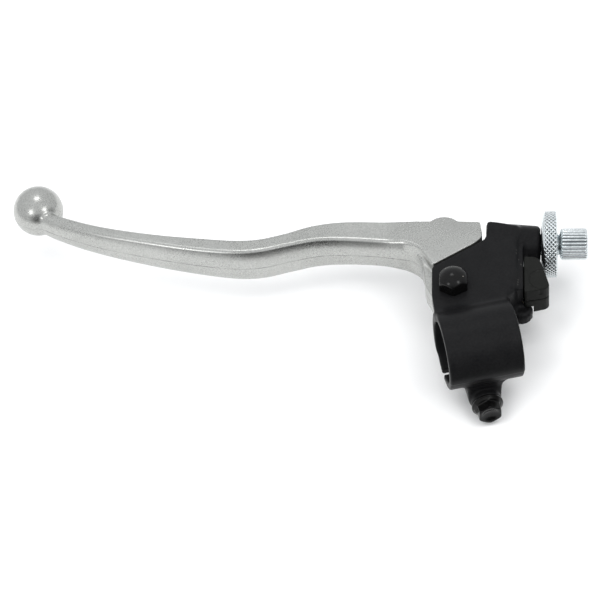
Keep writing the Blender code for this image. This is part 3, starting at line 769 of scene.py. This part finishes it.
def turning_marks(t, place, grain, axis):
    """Fine lines square to an axis, over a little of the grain."""
    stretch = tuple(9000.0 if letter == axis else 60.0 for letter in "XYZ")
    stretched = t.node("VectorMath", {0: place, 1: stretch}, operation="MULTIPLY")
    return t.maths("ADD", t.maths("MULTIPLY", grain, 0.4), t.noise(stretched, 1.0, 2.0))


def finish_of(name, dark, light, rough, metal=0.0, fine=1500.0, coarse=120.0, relief=0.02, strength=0.4,
              specular=0.5, wear_and_glint=None, groove_shade_and_grime=None, seam=None, brushed=None, pits=None):
    """A procedural finish.

    dark, light: the colour between its darkest and lightest grain. rough: its roughness range.
    fine, coarse: grain per metre. relief: depth of the grain in millimetres. worn: (colour, where
    it starts, roughness) on sharp outer edges, which it lightens partly as wear and partly as a painted highlight.
    groove: the colour of painted shade, with some grime, in inner corners. seam:
    (colour, height) of the parting line. brushed: the axis that turning marks run round.
    pits: the colour of small sparse casting pits.
    """
    made = bpy.data.materials.new(name)
    made.use_nodes = True
    t = Tree(made.node_tree)
    shader = made.node_tree.nodes["Principled BSDF"]
    place = t.node("TexCoord", {}, output=3)
    point = t.node("NewGeometry", {}, output=7)
    grain = t.noise(place, fine, 3.0, 0.6)
    drift = t.noise(place, coarse, 4.0, 0.55)
    blend = t.maths("ADD", t.maths("MULTIPLY", grain, 0.65), t.maths("MULTIPLY", drift, 0.35))
    colour = t.mix(t.spread(blend, 0.36, 0.64, 0.0, 1.0), (*dark, 1.0), (*light, 1.0))
    uneven = t.maths("ADD", drift, t.maths("MULTIPLY", grain, 0.4))
    roughness = t.spread(uneven, 0.5, 0.9, *rough)
    if pits:
        colour = pitted(t, place, colour, pits)
    # painted shade with some grime: inner corners and knurl valleys, found by low pointiness, are darkened where
    # less light reaches them
    if groove_shade_and_grime:
        colour = t.mix(t.spread(point, 0.5, 0.47, 0.0, 0.9), colour, (*groove_shade_and_grime, 1.0))
    # partly wear and partly painted highlight: sharp outer edges, found by high pointiness, take a lighter colour
    # and their own roughness, which stands in for light glinting along them as well as for rubbed edges
    if wear_and_glint:
        wear_and_glint_colour, start, edge_rough = wear_and_glint
        wear_and_glint_mask = edge_wear_and_glint(t, place, point, start)
        colour = t.mix(wear_and_glint_mask, colour, (*wear_and_glint_colour, 1.0))
        roughness = t.spread(wear_and_glint_mask, 0.0, 1.0, roughness, edge_rough)
    if seam:
        colour = parting_line(t, place, colour, *seam)
    height = turning_marks(t, place, grain, brushed) if brushed else grain
    bump = t.node("Bump", {"Strength": strength, "Distance": relief * MM, "Height": height})
    t.put(shader.inputs["Base Color"], colour)
    t.put(shader.inputs["Roughness"], roughness)
    t.put(shader.inputs["Normal"], bump)
    shader.inputs["Metallic"].default_value = metal
    shader.inputs["Specular IOR Level"].default_value = specular
    return made


ALUMINIUM = finish_of(
    "satin_aluminium", dark=(0.36, 0.364, 0.35), light=(0.525, 0.53, 0.512), rough=(0.25, 0.31),
    metal=0.92, fine=1900.0, coarse=40.0, relief=0.022, strength=0.3,
    seam=((0.17, 0.17, 0.168), 0.0), pits=(0.2, 0.2, 0.195))
# its lighter sharp edges are partly wear and partly a painted highlight
CASTING = finish_of(
    "satin_black_paint", dark=(0.0062, 0.0063, 0.0069), light=(0.0108, 0.0108, 0.0113), rough=(0.31, 0.42),
    fine=1300.0, coarse=160.0, relief=0.03, strength=0.3, specular=0.085,
    wear_and_glint=((0.04, 0.039, 0.037), 0.585, 0.4), seam=((0.0025, 0.0025, 0.0025), DIE_STEP * MM))
# its lighter sharp edges are partly wear to steel and partly a painted highlight
BOLT = finish_of(
    "black_oxide", dark=(0.002, 0.002, 0.0021), light=(0.0045, 0.0044, 0.0044), rough=(0.14, 0.26),
    fine=1900.0, coarse=260.0, relief=0.015, strength=0.35, specular=0.22,
    wear_and_glint=((0.17, 0.155, 0.14), 0.555, 0.3))
# its darker inner corners and knurl valleys are painted shade, with some grime
ZINC = finish_of(
    "bright_zinc", dark=(0.60, 0.64, 0.66), light=(0.82, 0.86, 0.87), rough=(0.12, 0.26), metal=1.0,
    coarse=220.0, relief=0.012, strength=0.3, groove_shade_and_grime=(0.10, 0.12, 0.13))
STEEL = finish_of(
    "ground_steel", dark=(0.42, 0.42, 0.43), light=(0.58, 0.58, 0.59), rough=(0.2, 0.36), metal=1.0,
    coarse=200.0, relief=0.01, strength=0.3, brushed="Z")
# its lighter sharp edges are partly wear and partly a painted highlight
PLASTIC = finish_of(
    "black_plastic", dark=(0.0068, 0.0071, 0.0066), light=(0.0115, 0.0119, 0.0108), rough=(0.4, 0.52),
    fine=2600.0, coarse=300.0, relief=0.03, specular=0.1, wear_and_glint=((0.04, 0.04, 0.038), 0.58, 0.5))
NYLON = finish_of(
    "nylon", dark=(0.66, 0.64, 0.57), light=(0.78, 0.77, 0.7), rough=(0.42, 0.56),
    fine=900.0, coarse=180.0, strength=0.3)
BRASS = finish_of(
    "brass", dark=(0.58, 0.40, 0.17), light=(0.76, 0.56, 0.27), rough=(0.22, 0.4), metal=1.0,
    fine=1300.0, coarse=240.0, relief=0.01, strength=0.3)
RUBBER = finish_of(
    "rubber", dark=(0.012, 0.012, 0.012), light=(0.024, 0.024, 0.024), rough=(0.7, 0.85),
    fine=2200.0, coarse=300.0, relief=0.04, strength=0.5)


# ---------------------------------------------------------------- pieces
def cast(name, shape, like, grid, body, slot, material):
    """A signed-distance shape as a piece that stands for a CAD node, meshed just round that node's box."""
    margin, cell = grid
    low, high = extent(like)
    return finished(name, skin(shape, low - margin, high + margin, cell), body, slot, material, like)


cast("lever_casting", lever, "lever_blade", CAST_GRID, "lever", "cast_aluminium", ALUMINIUM)
cast("perch_casting", perch, "perch_body", CAST_GRID, "perch", "black_casting", CASTING)
cast("pivot_bolt_piece", pivot_bolt, "pivot_bolt", FINE_GRID, "perch", "black_bolt", BOLT)
cast("clamp_bolt_piece", clamp_bolt, "clamp_bolt", FINE_GRID, "perch", "black_bolt", BOLT)
cast("pivot_nut_piece", pivot_nut, "pivot_locknut", FINE_GRID, "perch", "zinc", ZINC)
cast("switch_upper_piece", upper_case, "switch_case_upper", FINE_GRID, "perch", "black_plastic", PLASTIC)
cast("switch_lower_piece", lower_case, "switch_case_lower", FINE_GRID, "perch", "black_plastic", PLASTIC)
cast("switch_screw_piece", switch_screw, "switch_screw", SCREW_GRID, "perch", "zinc", ZINC)
for end_name, end_b in zip(("front", "rear"), TERMINAL_B):
    cast(f"terminal_{end_name}_piece", terminal(end_b), f"switch_terminal_{end_name}", TERMINAL_GRID,
         "perch", "brass", BRASS)
finished("locknut_wheel", wheel(), "locknut", "zinc", ZINC, "adjuster_locknut")
finished("adjuster_knob", barrel(), "barrel", "zinc", ZINC, "adjuster_barrel")

CARRIED = {
    "pivot_bush": STEEL, "thrust_washer_upper": NYLON, "thrust_washer_lower": NYLON, "pivot_washer": ZINC,
    "pivot_locknut_insert": NYLON, "switch_plunger": NYLON, "switch_contact_bridge": BRASS,
    "switch_plunger_seal": RUBBER, "switch_spring": STEEL,
}
for node_name, look in CARRIED.items():
    carried = frame["nodes"][node_name]
    for place in carried.material_slots:
        place.material = look


# ---------------------------------------------------------------- floor, light and camera, in metres
SHEET = ((-0.3, -0.03), (0.25, 0.4))            # corners of the sheet under the object
FLOOR_HALF, FLOOR_GAP = 6.0, 0.0003


def floor():
    """A wide pale floor just under the lowest point, of which gloss shows only the sheet near the object."""
    paint = bpy.data.materials.new("pale_floor")
    paint.use_nodes = True
    t = Tree(paint.node_tree)
    cloudy = t.noise(t.node("TexCoord", {}, output=3), 3.0)
    tone = t.mix(cloudy, (0.90, 0.90, 0.90, 1.0), (0.93, 0.93, 0.93, 1.0))
    shader = paint.node_tree.nodes["Principled BSDF"]
    t.put(shader.inputs["Base Color"], tone)
    shader.inputs["Roughness"].default_value = 0.9
    shader.inputs["Specular IOR Level"].default_value = 0.1
    xs = (-FLOOR_HALF, SHEET[0][0], SHEET[1][0], FLOOR_HALF)
    ys = (-FLOOR_HALF, SHEET[0][1], SHEET[1][1], FLOOR_HALF)
    points = [(x, y, 0.0) for y in ys for x in xs]
    squares = [(i, i + 1, i + 5, i + 4) for i in (0, 1, 2, 4, 5, 6, 8, 9, 10)]
    middle = squares.pop(4)
    for name, faces, in_gloss in (("sheet", [middle], True), ("floor", squares, False)):
        mesh = bpy.data.meshes.new(name)
        mesh.from_pydata(points, [], faces)
        mesh.materials.append(paint)
        made = bpy.data.objects.new(name, mesh)
        bpy.context.scene.collection.objects.link(made)
        made.location.z = CAD_BOX[0].z - FLOOR_GAP
        made.visible_glossy = in_gloss


def sky():
    """White light from above and behind, and a dark room low down on the near side."""
    world = bpy.data.worlds.new("studio")
    bpy.context.scene.world = world
    world.use_nodes = True
    t = Tree(world.node_tree)
    way = t.node("TexCoord", {}, output=0)
    up = t.node("SeparateXYZ", {0: way}, output=2)
    near = t.spread(t.node("SeparateXYZ", {0: way}, output=1), -0.1, -0.6, 0.0, 1.0)
    right = t.spread(t.node("SeparateXYZ", {0: way}), -0.75, -0.35, 0.0, 1.0)
    room = t.maths("MULTIPLY", t.maths("MULTIPLY", near, right), t.spread(up, 0.3, 0.6, 1.0, 0.0))
    lit = t.maths("SUBTRACT", t.spread(up, 0.0, 0.9, 0.8, 0.95), t.maths("MULTIPLY", room, 0.77))
    seen = t.node("LightPath", {})
    strength = t.maths("MAXIMUM", lit, seen)
    back = world.node_tree.nodes["Background"]
    back.inputs["Color"].default_value = (0.97, 0.985, 1.0, 1.0)
    t.put(back.inputs["Strength"], strength)


AIM = Vector((-0.06, 0.055, 0.0))               # the middle of the object
CAMERA = {"azimuth": -6.14, "elevation": 48.72, "roll": -6.22,      # degrees
          "distance": 0.921986, "bore_right": 0.063507, "bore_below": 0.016025,     # metres
          "lens": 156.0, "sensor": 36.0}                            # millimetres


def camera():
    """The view of the photograph: a long lens, from the rider's side, that shows the bore right of centre."""
    a, e, r = (math.radians(CAMERA[k]) for k in ("azimuth", "elevation", "roll"))
    back = Vector((math.sin(a) * math.cos(e), -math.cos(a) * math.cos(e), math.sin(e)))
    right = Vector((math.cos(a), math.sin(a), 0.0))
    up = back.cross(right)
    turned_right = right * math.cos(r) + up * math.sin(r)
    turned_up = up * math.cos(r) - right * math.sin(r)
    place = back * CAMERA["distance"] - turned_right * CAMERA["bore_right"] + turned_up * CAMERA["bore_below"]
    turn = Matrix((turned_right, turned_up, back)).transposed()
    data = bpy.data.cameras.new("camera")
    made = bpy.data.objects.new("camera", data)
    bpy.context.scene.collection.objects.link(made)
    made.matrix_world = Matrix.Translation(place) @ turn.to_4x4()
    data.sensor_width = CAMERA["sensor"]
    data.lens = CAMERA["lens"]
    data.clip_start, data.clip_end = 0.05, 50.0
    bpy.context.scene.camera = made
    return turn


def softbox(name, direction, distance, size, energy, mirrored=True):
    """A round light that faces the object from a direction; a plain one leaves no highlight."""
    data = bpy.data.lights.new(name, "AREA")
    data.shape = "DISK"
    data.size = size
    data.energy = energy
    made = bpy.data.objects.new(name, data)
    made.visible_glossy = mirrored
    bpy.context.scene.collection.objects.link(made)
    direction = Vector(direction).normalized()
    made.location = AIM + direction * distance
    made.rotation_mode = "QUATERNION"
    made.rotation_quaternion = direction.to_track_quat("Z", "Y")


floor()
sky()
TURN = camera()
softbox("key_left", (-0.45, -0.24, 1.0), distance=1.3, size=0.75, energy=5.2, mirrored=False)
softbox("key_right", (0.3, -0.28, 1.0), distance=1.3, size=0.75, energy=4.6, mirrored=False)
softbox("fill_high", TURN @ Vector((-0.139, 0.851, 0.507)), distance=1.1, size=0.32, energy=1.0)
softbox("fill_left", TURN @ Vector((-0.554, -0.115, 0.824)), distance=1.0, size=0.26, energy=0.9)
softbox("fill_right", TURN @ Vector((0.501, 0.096, 0.859)), distance=1.0, size=0.26, energy=0.9)
bpy.context.scene.view_settings.view_transform = "Standard"
